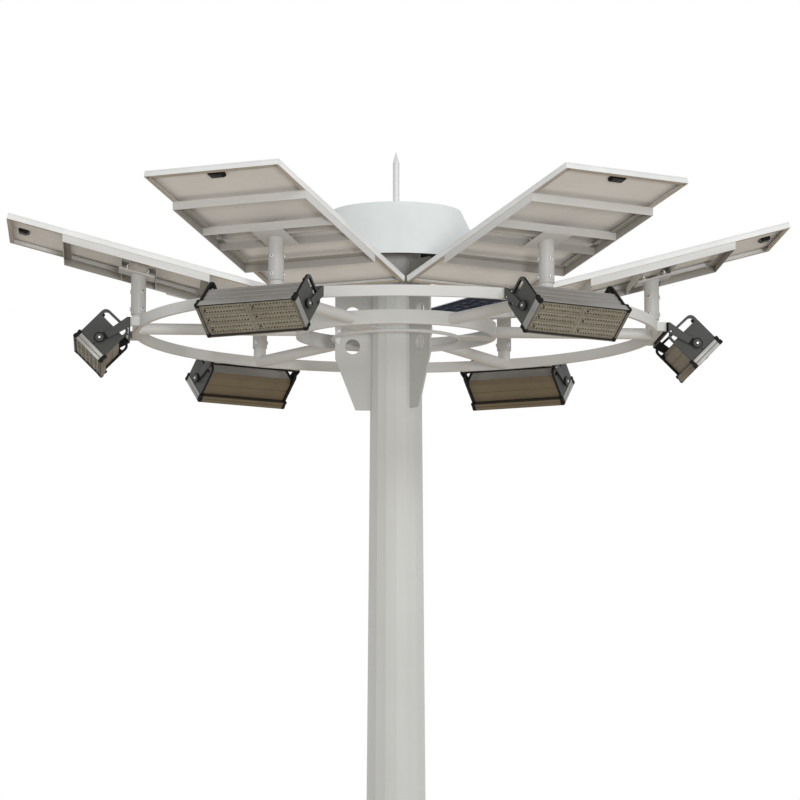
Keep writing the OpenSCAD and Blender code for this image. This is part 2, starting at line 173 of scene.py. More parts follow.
class Shop:
    """A node tree and the one way nodes are added to it."""

    def __init__(self, tree):
        self.tree = tree
        tree.nodes.clear()

    def node(self, kind, settings=None, inputs=None, output=0):
        """Adds one node with its settings and inputs, and gives one of its outputs."""
        made = self.tree.nodes.new(kind)
        for key, value in (settings or {}).items():
            if key == "stops":
                self._stops(made, value)
            else:
                setattr(made, key, value)
        for key, value in (inputs or {}).items():
            if isinstance(value, Value):
                self.tree.links.new(value.socket, made.inputs[key])
            else:
                made.inputs[key].default_value = value
        return Value(self, made.outputs[output]) if len(made.outputs) else made

    @staticmethod
    def _stops(made, stops):
        """Lays out a colour ramp: stops are (position, colour)."""
        ramp = made.color_ramp.elements
        while len(ramp) < len(stops):
            ramp.new(0.5)
        for element, (position, color) in zip(ramp, stops):
            element.position = position
            element.color = color

    def blend(self, factor, a, b):
        """Colours a and b mixed; each is a value or three numbers."""
        a, b = ((*c, 1.0) if isinstance(c, tuple) else c for c in (a, b))
        return self.node("ShaderNodeMix", {"data_type": "RGBA"}, {0: factor, 6: a, 7: b}, 2)

    def backdrop(self, lit, shown):
        """shown where it is seen directly, in gloss or through glass; lit in the light it gives."""
        path = self.node("ShaderNodeLightPath", None, None, "Is Camera Ray")
        plainly = path.larger(path.output("Is Glossy Ray")).larger(path.output("Is Transmission Ray"))
        return self.node("ShaderNodeMixShader", None, {0: plainly, 1: lit, 2: shown})


class Finish(Shop):
    """One material, built around a Principled shader."""

    def __init__(self, name, **constants):
        self.material = bpy.data.materials.new(name)
        self.material.use_nodes = True
        super().__init__(self.material.node_tree)
        self.shader = self.node("ShaderNodeBsdfPrincipled", None,
                                {key.replace("_", " "): value for key, value in constants.items()})
        self.node("ShaderNodeOutputMaterial", None, {"Surface": self.shader})

    def feed(self, socket, value):
        """Links a value to a socket of the Principled shader."""
        self.tree.links.new(value.socket, self.shader.socket.node.inputs[socket])

    def place(self):
        """Object coordinates, in metres."""
        return self.node("ShaderNodeTexCoord", output="Object")

    def surface(self, layer):
        """A UV map of the piece, in metres."""
        return self.node("ShaderNodeUVMap", {"uv_map": layer})

    def axes(self, vector):
        """The three numbers of a vector."""
        first = self.node("ShaderNodeSeparateXYZ", None, {0: vector})
        return first, first.output(1), first.output(2)

    def stretched(self, vector, scale):
        return self.node("ShaderNodeMapping", None, {"Vector": vector, "Scale": scale})

    def noise(self, scale, detail=3.0, vector=None):
        inputs = {"Vector": vector or self.place(), "Scale": scale, "Detail": detail, "Roughness": 0.55}
        return self.node("ShaderNodeTexNoise", None, inputs)

    def ramp(self, factor, *stops):
        stops = [(position, (*color, 1.0)) for position, color in stops]
        return self.node("ShaderNodeValToRGB", {"stops": stops}, {"Fac": factor})

    def span(self, factor, low, high, start=0.0, stop=1.0):
        """low where factor is start, high where it is stop."""
        bounds = {"From Min": start, "From Max": stop, "To Min": low, "To Max": high}
        return self.node("ShaderNodeMapRange", {"clamp": True}, {"Value": factor, **bounds})

    def gloss_squarely(self, amount):
        """Clear gloss where the surface is looked at squarely, fading at a slant."""
        squarely = 1.0 - self.node("ShaderNodeLayerWeight", None, {"Blend": 0.5}, "Facing")
        self.feed("Coat Weight", squarely * squarely * amount)

    def bump(self, height, strength, distance, under=None):
        inputs = {"Height": height, "Strength": strength, "Distance": distance}
        if under:
            inputs["Normal"] = under
        return self.node("ShaderNodeBump", None, inputs)


# ---------------------------------- finishes

def sprayed_paint(name, color, shade, rough=0.42):
    """Powder coat over galvanised steel: fine orange peel, a cloudy tone and faint rain marks."""
    paint = Finish(name, Specular_IOR_Level=0.0, Coat_Roughness=0.35)
    where = paint.place()
    cloud = paint.noise(2.2, 4.0, where)
    streak = paint.noise(7.0, 4.0, paint.stretched(where, (1.0, 1.0, 0.12)))
    tone = paint.ramp(cloud * 0.6 + streak * 0.4, (0.30, shade), (0.62, color))
    paint.feed("Base Color", paint.blend(0.5, color, tone))
    paint.feed("Roughness", paint.span(streak, rough - 0.08, rough + 0.12))
    paint.gloss_squarely(0.5)
    paint.feed("Normal", paint.bump(paint.noise(420.0, 2.0, where), 0.12, 0.0006))
    return paint.material


def mast_paint():
    """The mast's coat, with the long weld of the tube down one face."""
    paint = Finish("mast_white_coat", Specular_IOR_Level=0.22)
    where = paint.place()
    x, y, z = paint.axes(where)
    cloud = paint.noise(1.6, 4.0, where)
    streak = paint.noise(9.0, 5.0, paint.stretched(where, (1.0, 1.0, 0.06)))
    shade, color = (0.645, 0.650, 0.632), (0.712, 0.719, 0.702)
    tone = paint.ramp(cloud * 0.5 + streak * 0.5, (0.30, shade), (0.65, color))
    splash = paint.span(z + streak * 0.35, 0.45, 0.0, 0.15, 0.75)
    paint.feed("Base Color", paint.blend(splash, tone, (0.50, 0.475, 0.43)))
    paint.feed("Roughness", paint.span(streak, 0.36, 0.56))
    # the weld runs up the face that looks towards +Y
    bead = ((x - WELD_X).size() < WELD_HALF) * (y > 0.0)
    ripple = (z * 900.0).sine() * 0.2 + 0.8
    peel = paint.bump(paint.noise(380.0, 2.0, where), 0.12, 0.0006)
    paint.feed("Normal", paint.bump(bead * ripple, 0.5, 0.002, peel))
    return paint.material


def drum_paint():
    """Pale coat outside; inside the shell, near black painted shade."""
    paint = Finish("drum_pale_coat", Specular_IOR_Level=0.35)
    where = paint.place()
    x, y, z = paint.axes(where)
    radius = (x * x + y * y) ** 0.5
    slope = (DRUM_R1 - DRUM_R2) / (DRUM_Z2 - DRUM_Z1)
    skin = (z - DRUM_Z1) * (-slope) + (DRUM_R1 - DRUM_SKIN)
    # painted shade: inside the shell the colour goes near black
    inside = (radius < skin) * (z < DRUM_Z2 - LID_SKIN)
    cloud = paint.noise(2.6, 4.0, where)
    streak = paint.noise(10.0, 4.0, paint.stretched(where, (1.0, 1.0, 0.10)))
    shade, color = (0.785, 0.82, 0.81), (0.845, 0.88, 0.87)
    tone = paint.ramp(cloud * 0.5 + streak * 0.5, (0.30, shade), (0.65, color))
    paint.feed("Base Color", paint.blend(inside, tone, (0.012, 0.012, 0.012)))
    paint.feed("Roughness", paint.span(streak, 0.36, 0.52) * (1.0 - inside) + inside * 0.8)
    paint.feed("Normal", paint.bump(paint.noise(400.0, 2.0, where), 0.12, 0.0006))
    return paint.material


def drawn_aluminium(name, color, rough, metallic, specular=0.3):
    """Anodised aluminium with fine drawing lines along the piece's own length."""
    metal = Finish(name, Metallic=metallic, Specular_IOR_Level=specular)
    fine = metal.noise(60.0, 3.0, metal.stretched(metal.surface("run"), (0.5, 26.0, 1.0)))
    broad = metal.noise(5.0, 3.0)
    darker = tuple(c * 0.82 for c in color)
    metal.feed("Base Color", metal.ramp(fine * 0.45 + broad * 0.55, (0.30, darker), (0.68, color)))
    metal.feed("Roughness", metal.span(fine, rough - 0.07, rough + 0.10))
    metal.feed("Normal", metal.bump(fine, 0.10, 0.0004))
    return metal.material


def cast_coat(name, color, rough, specular=0.4):
    """Dark textured powder coat on pressed and cast pieces."""
    coat = Finish(name, Specular_IOR_Level=specular)
    where = coat.place()
    broad = coat.noise(6.0, 4.0, where)
    speck = coat.noise(900.0, 2.0, where)
    lighter = tuple(min(1.0, c * 1.35 + 0.002) for c in color)
    coat.feed("Base Color", coat.ramp(broad * 0.6 + speck * 0.4, (0.35, color), (0.75, lighter)))
    coat.feed("Roughness", coat.span(broad, rough - 0.08, rough + 0.10))
    coat.feed("Normal", coat.bump(speck, 0.30, 0.0005))
    return coat.material


def bolt_steel(name, dark, light, rough=0.38):
    """Zinc or blackened steel with a fine crystal pattern."""
    metal = Finish(name, Metallic=0.6)
    spangle = metal.noise(240.0, 3.0)
    metal.feed("Base Color", metal.ramp(spangle, (0.35, dark), (0.70, light)))
    metal.feed("Roughness", metal.span(spangle, rough - 0.10, rough + 0.10))
    metal.feed("Normal", metal.bump(spangle, 0.15, 0.0003))
    return metal.material


def rod_steel():
    """Turned steel under a pale coat."""
    metal = Finish("rod_pale_steel", Metallic=0.25, IOR=1.46)
    turn = metal.noise(30.0, 3.0, metal.stretched(metal.place(), (1.0, 1.0, 14.0)))
    dark, light = (0.66, 0.67, 0.66), (0.76, 0.77, 0.76)
    metal.feed("Base Color", metal.ramp(turn, (0.35, dark), (0.70, light)))
    metal.feed("Roughness", metal.span(turn, 0.38, 0.54))
    metal.feed("Normal", metal.bump(turn, 0.12, 0.0003))
    return metal.material


def cell_glass():
    """Dark silicon under matt glass, with its silver fingers and three busbars."""
    cell = Finish("solar_cells", Roughness=0.32, Specular_IOR_Level=0.0, Coat_Roughness=0.10)
    uv = cell.surface("sheet")
    u, v = cell.axes(uv)[:2]
    bars = ((v + CELL_SHIFT) % BUSBAR_PITCH - BUSBAR_PITCH / 2).size() < BUSBAR_HALF
    fingers = ((u + CELL_SHIFT) % FINGER_PITCH) < FINGER_W
    dark, light = (0.007, 0.008, 0.017), (0.012, 0.014, 0.030)
    silicon = cell.ramp(cell.noise(9.0, 2.0, uv), (0.35, dark), (0.65, light))
    ruled = cell.blend(fingers * 0.16, silicon, (0.26, 0.27, 0.30))
    cell.feed("Base Color", cell.blend(bars, ruled, (0.50, 0.51, 0.53)))
    cell.gloss_squarely(0.6)
    cell.feed("Normal", cell.bump(cell.noise(900.0, 2.0, uv), 0.15, 0.0002))
    return cell.material


def sheet_white(name, color, rough):
    """Polymer sheet with a faint grid pressed through from the cells."""
    sheet = Finish(name, Specular_IOR_Level=0.0)
    uv = sheet.surface("sheet")
    u, v = sheet.axes(uv)[:2]
    broad = sheet.noise(3.0, 4.0, uv)
    half = CELL_PITCH / 2
    lines = [((w + CELL_SHIFT) % CELL_PITCH - half).size() > half * 0.98 for w in (u, v)]
    darker = tuple(c * 0.94 for c in color)
    cloudy = sheet.ramp(broad, (0.35, darker), (0.65, color))
    sheet.feed("Base Color", sheet.blend((lines[0] + lines[1]) * 0.3, cloudy, darker))
    sheet.feed("Roughness", sheet.span(broad, rough - 0.06, rough + 0.08))
    sheet.feed("Normal", sheet.bump(sheet.noise(700.0, 2.0, uv), 0.10, 0.0003))
    return sheet.material


def board_olive(name, low, high, rough=0.45):
    """Olive tint of the lamp board and its surround, mottled behind the clear front."""
    board = Finish(name, Specular_IOR_Level=0.0)
    uv = board.surface("run")
    mottle = board.noise(34.0, 4.0, uv)
    wash = board.noise(5.0, 3.0, uv)
    board.feed("Base Color", board.ramp(mottle * 0.55 + wash * 0.45, (0.32, low), (0.68, high)))
    board.feed("Roughness", board.span(mottle, rough - 0.08, rough + 0.10))
    board.feed("Normal", board.bump(mottle, 0.20, 0.0006))
    return board.material


def diode_lens():
    """Small clear domes over yellow diodes."""
    lens = Finish("diode_lenses", Specular_IOR_Level=0.3)
    tint = lens.noise(46.0, 2.0)
    dark, light = (0.055, 0.042, 0.018), (0.175, 0.140, 0.066)
    lens.feed("Base Color", lens.ramp(tint, (0.42, dark), (0.66, light)))
    lens.feed("Roughness", lens.span(tint, 0.12, 0.28))
    return lens.material


def reflector_white():
    """Painted highlights: small pale dots beside the lenses, no two quite alike."""
    chip = Finish("board_painted_highlights", Specular_IOR_Level=0.3, Roughness=0.4)
    odd = chip.noise(70.0, 1.0)
    dark, light = (0.24, 0.21, 0.14), (0.60, 0.55, 0.42)
    chip.feed("Base Color", chip.ramp(odd, (0.42, dark), (0.62, light)))
    return chip.material


def black_plastic():
    """Black moulded plastic of caps, boxes and lens screws."""
    part = Finish("black_caps", Specular_IOR_Level=0.10)
    where = part.place()
    broad = part.noise(8.0, 3.0, where)
    dark, light = (0.007, 0.007, 0.006), (0.015, 0.014, 0.013)
    part.feed("Base Color", part.ramp(broad, (0.35, dark), (0.70, light)))
    part.feed("Roughness", part.span(broad, 0.38, 0.56))
    part.feed("Normal", part.bump(part.noise(700.0, 2.0, where), 0.20, 0.0004))
    return part.material


# ---------------------------------- shaping helpers

# angles between faces: flatter ones look smooth, and sharper ones are the rims of an outline
SMOOTH_UNDER, RIM_OVER = math.radians(35.0), 1.2


def link(name, data):
    """A new object in the scene, at the origin."""
    made = bpy.data.objects.new(name, data)
    bpy.context.scene.collection.objects.link(made)
    return made


def aim(made, direction):
    """Turns a camera or a light to look along a direction."""
    made.rotation_mode = "QUATERNION"
    made.rotation_quaternion = Vector(direction).to_track_quat("-Z", "Y")


def heading(edge):
    """The direction of an edge."""
    return (edge.verts[0].co - edge.verts[1].co).normalized()


class Piece:
    """A mesh under construction in its own frame, with finishes by slot."""

    def __init__(self, name, *finishes):
        self.name, self.finishes = name, finishes
        self.bm = bmesh.new()

    @staticmethod
    def _mark(faces, slot):
        for face in faces:
            face.material_index = slot

    def _soften(self, edges, width, segments=2):
        """Rounds edges, taken in a fixed order, so that every run gives the same mesh."""
        self.bm.edges.index_update()
        bmesh.ops.bevel(self.bm, geom=sorted(edges, key=lambda e: e.index), offset=width,
                        offset_type="OFFSET", segments=segments, profile=0.5, affect="EDGES",
                        clamp_overlap=True, material=-1)

    def block(self, low, high, soften=0.0, slot=0, segments=2):
        """A box between two corners, given in any order, with its edges rounded."""
        low, high = (Vector(map(pick, low, high)) for pick in (min, max))
        made = bmesh.ops.create_cube(self.bm, size=1.0)["verts"]
        bmesh.ops.scale(self.bm, vec=high - low, verts=made)
        bmesh.ops.translate(self.bm, vec=(high + low) / 2, verts=made)
        self._mark({f for v in made for f in v.link_faces}, slot)
        if soften:
            self._soften({e for v in made for e in v.link_edges}, soften, segments)

    def round(self, centre, axis, radius, depth, sides=32, slot=0, soften=0.0):
        """A disc or pin that starts at centre and runs along axis, with softened rims."""
        axis = Vector(axis).normalized()
        turn = axis.to_track_quat("Z", "Y").to_matrix().to_4x4()
        place = Matrix.Translation(Vector(centre) + axis * depth / 2) @ turn
        made = bmesh.ops.create_cone(self.bm, cap_ends=True, segments=sides, radius1=radius,
                                     radius2=radius, depth=depth, matrix=place)["verts"]
        self._mark({f for v in made for f in v.link_faces}, slot)
        if soften:
            rims = {e for v in made for e in v.link_edges if abs(heading(e).dot(axis)) < 0.3}
            self._soften(rims, soften)

    def bolt(self, centre, axis, across, slot=0, washer=True, shank=0.0):
        """A hexagon head on a washer, standing on centre."""
        axis = Vector(axis).normalized()
        centre = Vector(centre)
        high = across * 0.42
        if washer:
            self.round(centre, axis, across * 0.92, across * 0.14, 20, slot)
            centre = centre + axis * across * 0.14
        self.round(centre, axis, across * 0.577, high, 6, slot, across * 0.05)
        if shank:
            self.round(centre + axis * high, axis, across * 0.30, shank, 12, slot, across * 0.04)

    def outline(self, points, frame_to, depth, slot=0, soften=0.0, holes=()):
        """A flat outline pushed out to a plate with softened rims. frame_to places each (u, v)."""
        loops = []
        for ring in (points, *holes):
            verts = [self.bm.verts.new(frame_to(u, v)) for u, v in ring]
            loops.append([self.bm.edges.new(pair) for pair in zip(verts, verts[1:] + verts[:1])])
        if holes:
            made = bmesh.ops.triangle_fill(self.bm, use_beauty=True, use_dissolve=True,
                                           edges=[e for loop in loops for e in loop])["geom"]
            faces = [g for g in made if isinstance(g, bmesh.types.BMFace)]
        else:
            faces = bmesh.ops.contextual_create(self.bm, geom=loops[0])["faces"]
        pushed = bmesh.ops.extrude_face_region(self.bm, geom=faces)["geom"]
        moved = [g for g in pushed if isinstance(g, bmesh.types.BMVert)]
        bmesh.ops.translate(self.bm, vec=depth, verts=moved)
        region = {f for v in moved for f in v.link_faces} | set(faces)
        self._mark(region, slot)
        bmesh.ops.recalc_face_normals(self.bm, faces=list(region))
        if soften:
            along = Vector(depth).normalized()
            rims = {e for f in region for e in f.edges if len(e.link_faces) == 2
                    and e.calc_face_angle(0) > RIM_OVER and abs(heading(e).dot(along)) < 0.5}
            self._soften(rims, soften)

    def cut_tube(self, point, normal):
        """Cuts a tube off at a plane and closes its end between the two rims."""
        everything = [*self.bm.verts, *self.bm.edges, *self.bm.faces]
        made = bmesh.ops.bisect_plane(self.bm, geom=everything, plane_co=point, plane_no=normal,
                                      clear_outer=True)["geom_cut"]
        bmesh.ops.bridge_loops(self.bm, edges=[g for g in made if isinstance(g, bmesh.types.BMEdge)])

    def domes(self, centres, axis, radius, height, slot=0):
        """Small low domes at many places: one is shaped and then copied."""
        turn = Vector(axis).to_track_quat("Z", "Y").to_matrix().to_4x4()
        made = bmesh.ops.create_cone(self.bm, cap_ends=True, segments=8, radius1=radius,
                                     radius2=radius * 0.86, depth=height, matrix=turn)["verts"]
        self._mark({f for v in made for f in v.link_faces}, slot)
        self.bm.normal_update()
        top = [f for v in made for f in v.link_faces if f.normal.dot(Vector(axis)) > 0.9][:1]
        raised = bmesh.ops.inset_region(self.bm, faces=top, thickness=radius * 0.42,
                                        depth=height * 0.35)["faces"]
        self._mark(raised, slot)
        shape = list({f for v in made for f in v.link_faces} | set(raised) | set(top))
        for centre in centres[1:]:
            copy = bmesh.ops.duplicate(self.bm, geom=shape)["geom"]
            moved = [g for g in copy if isinstance(g, bmesh.types.BMVert)]
            bmesh.ops.translate(self.bm, vec=centre, verts=moved)
        bmesh.ops.translate(self.bm, vec=centres[0], verts=list({v for f in shape for v in f.verts}))

    def tint(self, rule):
        """Sets each face's slot by a rule of its normal, its middle and the slot it has."""
        self.bm.normal_update()
        for face in self.bm.faces:
            face.material_index = rule(face.normal, face.calc_center_median(), face.material_index)

    def lay_uv(self, layer, rule):
        """Writes a UV map in metres from each corner's place."""
        uv = self.bm.loops.layers.uv.new(layer)
        for face in self.bm.faces:
            for loop in face.loops:
                loop[uv].uv = rule(loop.vert.co)

    def _mesh(self):
        self.bm.normal_update()
        mesh = bpy.data.meshes.new(self.name)
        self.bm.to_mesh(mesh)
        self.bm.free()
        for material in self.finishes:
            mesh.materials.append(material)
        for polygon in mesh.polygons:
            polygon.use_smooth = True
        mesh.set_sharp_from_angle(angle=SMOOTH_UNDER)
        return mesh

    def set_out(self, place_of, body="mast_head", stands_for=None):
        """Puts one copy on each arm of the head and rides it on its body."""
        pattern = self._mesh()
        for i in ARMS:
            mesh = pattern.copy()
            mesh.transform(place_of(i))
            made = link(f"{self.name}_{i}", mesh)
            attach(made, body.format(i))
            if stands_for:
                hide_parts(stands_for.format(i))
        bpy.data.meshes.remove(pattern)

    def stand(self):
        """Puts the mesh in the scene as one object of the mast."""
        made = link(self.name, self._mesh())
        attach(made, "mast_head")


def run_uv(co):
    """u along the piece's length (Y), v round its section."""
    return (co.y, co.x + co.z)


def rounded(points, steps=5):
    """The outline with each corner turned to an arc: points are (u, v, radius)."""
    out = []
    for k, (u, v, r) in enumerate(points):
        here = Vector((u, v))
        before = (Vector(points[k - 1][:2]) - here).normalized()
        after = (Vector(points[(k + 1) % len(points)][:2]) - here).normalized()
        half = before.angle(after) / 2
        centre = here + (before + after).normalized() * (r / math.sin(half))
        start, stop = (here + side * (r / math.tan(half)) - centre for side in (before, after))
        a0 = math.atan2(start.y, start.x)
        sweep = math.atan2(stop.y, stop.x) - a0
        sweep = (sweep + math.pi) % (2 * math.pi) - math.pi
        for s in range(steps + 1):
            a = a0 + sweep * s / steps
            out.append((centre.x + r * math.cos(a), centre.y + r * math.sin(a)))
    return out


def rounded_box(u0, v0, u1, v1, radius, steps=5):
    """A rectangle between two corners, with rounded corners."""
    return rounded([(u0, v0, radius), (u1, v0, radius), (u1, v1, radius), (u0, v1, radius)], steps)


# ---------------------------------- solar modules

# finishes in the order of each piece's slots
RIM_SIDE, RIM_UNDER = range(2)
GAPS, CELLS, BACK, BOX, GLAND = range(5)
COAT, LIPS, WEBS = range(3)


def rim_bars(rim, inset, low, high, soften, slot):
    """Four bars round a module, inset wide; the short ones end inside the long ones."""
    x0, x1, y1 = PANEL_X0, PANEL_X1, PANEL_Y1
    y2 = y1 - inset * 0.45
    for a, b in (((x0, -y1), (x1, -y1 + inset)), ((x0, y1 - inset), (x1, y1)),
                 ((x0, -y2), (x0 + inset, y2)), ((x1 - inset, -y2), (x1, y2))):
        rim.block((*a, low), (*b, high), soften, slot)


def solar_rims(side, under):
    """The extruded rim of a module: outer wall, bottom flange, top lip and the shelf of the glass."""
    rim = Piece("panel_rim", side, under)
    rim_bars(rim, 0.002, 0.0, PANEL_H, 0.0006, RIM_SIDE)
    # painted shade: the bottom flange and the glass shelf take a darker, warmer alloy
    rim_bars(rim, 0.027, 0.0, 0.002, 0.0006, RIM_UNDER)
    rim_bars(rim, 0.010, PANEL_H - 0.0015, PANEL_H, 0.0005, RIM_SIDE)
    rim_bars(rim, 0.008, PANEL_H - 0.0085, PANEL_H - 0.0070, 0.0004, RIM_UNDER)
    rim.lay_uv("run", lambda co: (co.x, co.y + co.z))
    rim.set_out(panel_place, stands_for="panel_frame_{}")


def solar_sheets(gaps, cells, back, box, gland):
    """Glass with its cells, the back sheet and the junction box of a module."""
    sheet = Piece("solar_glass", gaps, cells, back, box, gland)
    x0, x1, y1 = PANEL_X0 + 0.0025, PANEL_X1 - 0.0025, PANEL_Y1 - 0.0025
    top, low, back_top, back_low = (PANEL_H - d for d in (0.0022, 0.0045, 0.0046, 0.0060))
    sheet.block((x0, -y1, low), (x1, y1, top), 0.0, GAPS)
    sheet.block((x0, -y1, back_low), (x1, y1, back_top), 0.0, BACK)
    half, cut = 0.0622, 0.014
    wafer = [(half, half - cut), (half - cut, half), (-half + cut, half), (-half, half - cut),
             (-half, -half + cut), (-half + cut, -half), (half - cut, -half), (half, -half + cut)]
    for a in range(CELLS_LONG):
        for b in range(CELLS_WIDE):
            cx = PANEL_MID + (a - (CELLS_LONG - 1) / 2) * CELL_PITCH
            cy = (b - (CELLS_WIDE - 1) / 2) * CELL_PITCH
            sheet.outline(wafer, lambda u, v: (cx + u, cy + v, PANEL_H - 0.0023), (0, 0, 0.0004), CELLS)
    # junction box near the outer end: shell, lid, two cable glands and two screws
    bx, by, bz = PANEL_X1 - 0.085, -0.009, back_low
    sheet.outline(rounded_box(-0.028, -0.046, 0.028, 0.046, 0.008),
                  lambda u, v: (bx + u, by + v, bz), (0, 0, -0.016), BOX, 0.002)
    sheet.outline(rounded_box(-0.024, -0.041, 0.024, 0.041, 0.007),
                  lambda u, v: (bx + u, by + v, bz - 0.015), (0, 0, -0.006), BOX, 0.002)
    for s in (-1, 1):
        gland, screw = (bx - 0.027, by + s * 0.026, bz - 0.008), (bx + 0.018, by + s * 0.034, bz - 0.021)
        sheet.round(gland, (-1, 0, 0), 0.007, 0.009, 12, GLAND, 0.001)
        sheet.round(screw, (0, 0, -1), 0.003, 0.0008, 10, GLAND)
    sheet.lay_uv("sheet", lambda co: (co.x - PANEL_MID, co.y))
    sheet.set_out(panel_place, stands_for="panel_laminate_{}")


def panel_supports(coat, sleeve_shade, lips, webs):
    """Angles with their lips against the module and plumb ends, the bearing plate and the sleeve."""
    angles = Piece("panel_angles", coat, lips, webs)
    half, wall, lip = PANEL_Y1, ANGLE_T, ANGLE_W
    lean = math.tan(math.radians(PANEL_TILT))

    def slab(x0, x1, y0, y1, low):
        """One leg of an angle, from the module's underside down to low, with plumb ends."""
        corners = [(x0, low), (x1, low), (x1, 0), (x0, 0)]
        angles.outline([(x + z * lean, z) for x, z in corners],
                       lambda u, v: (u, y0, v), (0, y1 - y0, 0), COAT, 0.0006)

    for s, end in ((-1, SUPPORT_X0), (1, SUPPORT_X1)):
        slab(SUPPORT_X0, SUPPORT_X1, s * half, s * (half - wall), -SUPPORT_H)
        slab(SUPPORT_X0 + wall, SUPPORT_X1 - wall, s * (half - wall / 2), s * (half - lip), -wall)
        for x in (end, s * BEARING_X):
            slab(x, x - s * wall, -half + wall / 2, half - wall / 2, -SUPPORT_H)
            slab(x - s * wall / 2, x - s * lip, -half + wall, half - wall, -wall)
    angles.block((-BEARING_X, -BEARING_Y, -SUPPORT_H - BEARING_T),
                 (BEARING_X, BEARING_Y, -SUPPORT_H), 0.0012)

    def lining(normal, at, _):
        """Painted shade inside the angles: lips and long webs one tone, cross webs another."""
        over_plate = abs(at.x) < BEARING_X - 2 * wall and abs(at.y) < BEARING_Y and at.z < -wall
        if over_plate or at.z < -SUPPORT_H:
            return COAT
        lip_below = normal.z < -0.7 and at.z > -2 * wall
        long_web = normal.y * at.y < 0 and abs(normal.y) > 0.9
        cross_web = normal.x * at.x < 0 and abs(normal.x) > 0.8
        return LIPS if lip_below or long_web else WEBS if cross_web else COAT

    angles.tint(lining)
    angles.set_out(panel_place, stands_for="panel_support_{}")

    sleeve = Piece("panel_sleeve", sleeve_shade)
    turns = [math.radians(a) for a in range(0, 360, 8)]
    outer, bore = ([(r * math.cos(a), r * math.sin(a)) for a in turns]
                   for r in (SLEEVE_R, SLEEVE_R - SLEEVE_WALL))
    sleeve.outline(outer, lambda u, v: (POST_R + u, v, SLEEVE_LOW),
                   (0, 0, PANEL_RISE - SLEEVE_LOW), 0, 0.0010, [bore])
    # the sleeve ends inside the sloped bearing plate
    up = Matrix.Rotation(math.radians(-PANEL_TILT), 3, "Y") @ Vector((0, 0, 1))
    sleeve.cut_tube(Vector((POST_R, 0, PANEL_RISE)) - up * (SUPPORT_H + BEARING_T / 2), up)
    sleeve.set_out(arm_place)


def support_fixings(steel, dark):
    """Bolts of the bearing plate and the panel clamps, and the set bolts of the sleeve."""
    bolts = Piece("support_bolts", steel)
    for x in (-PLATE_BOLT_X, PLATE_BOLT_X):
        for y in (-PLATE_BOLT_Y, PLATE_BOLT_Y):
            bolts.bolt((x, y, -SUPPORT_H), (0, 0, 1), 0.022, shank=0.018)
    for x in (SUPPORT_X0 + 0.060, -0.030, 0.030, SUPPORT_X1 - 0.060):
        for s in (-1, 1):
            bolts.bolt((x, s * (PANEL_Y1 - 0.024), -ANGLE_T), (0, 0, -1), 0.009, washer=False)
    bolts.set_out(panel_place)

    sets = Piece("sleeve_bolts", steel, dark)
    for z in SET_BOLT_ROWS:
        for turn in SET_BOLT_TURNS:
            out = Vector((math.cos(math.radians(turn)), math.sin(math.radians(turn)), 0))
            centre = Vector((POST_R, 0, z)) + out * (SLEEVE_R - 0.0008)
            sets.round(centre, out, 0.0112, 0.0070, 24, 0, 0.0026)
            # the socket is a dark hex disc on the head: painted shade of its recess
            sets.round(centre + out * 0.0066, out, 0.0050, 0.0006, 6, 1)
    sets.set_out(arm_place)


# ---------------------------------- floodlights

# finishes in the order of each piece's slots
METAL, BELOW = range(2)
PAINT, EDGE, STEEL = range(3)
STRIP, CAP, GASKET_SHADE, OLIVE, BODY, UNDER = range(6)
BOARD, LENS, SEAM, SCREW, GLINT = range(5)

# what faces forwards in front of this X and below this Z is olive; above it the upper nose keeps its
# bright alloy, a painted highlight
OLIVE_X, OLIVE_TOP = 0.094, 0.104


def lamp_bodies(metal, below):
    """The drawn aluminium body: broad grooves on top, one down the back and one below."""
    top, low, back, front = 0.092, -0.082, -0.096, LAMP_BACK_X
    points = [(front, low)]
    points += [(-0.014, low), (-0.016, low + 0.003), (-0.020, low + 0.003), (-0.022, low)]
    points += [(-0.070, low), (-0.074, low + 0.004), (-0.086, low + 0.012), (back, low + 0.022)]
    points += [(back, 0.022), (back + 0.005, 0.024), (back + 0.005, 0.031), (back, 0.033)]
    points += [(back, 0.062), (back + 0.006, 0.074), (back + 0.014, 0.082), (-0.076, 0.085)]
    points += [(-0.070, top - 0.004)]
    for x in (-0.054, -0.016, 0.022):
        points += [(x - 0.008, top), (x - 0.005, top - 0.0030)]
        points += [(x + 0.005, top - 0.0030), (x + 0.008, top)]
    points += [(front, top)]
    half = END_Y - END_T - 0.0003
    body = Piece("lamp_body", metal, below)
    body.outline(points, lambda u, v: (u, -half, v), (0, 2 * half, 0))
    # painted shade: faces turned down take a darker, warmer copy of the alloy
    body.tint(lambda normal, at, slot: BELOW if normal.z < -0.3 else METAL)
    body.lay_uv("run", run_uv)
    body.set_out(lamp_place, "floodlight_{}", "lamp_housing_{}")


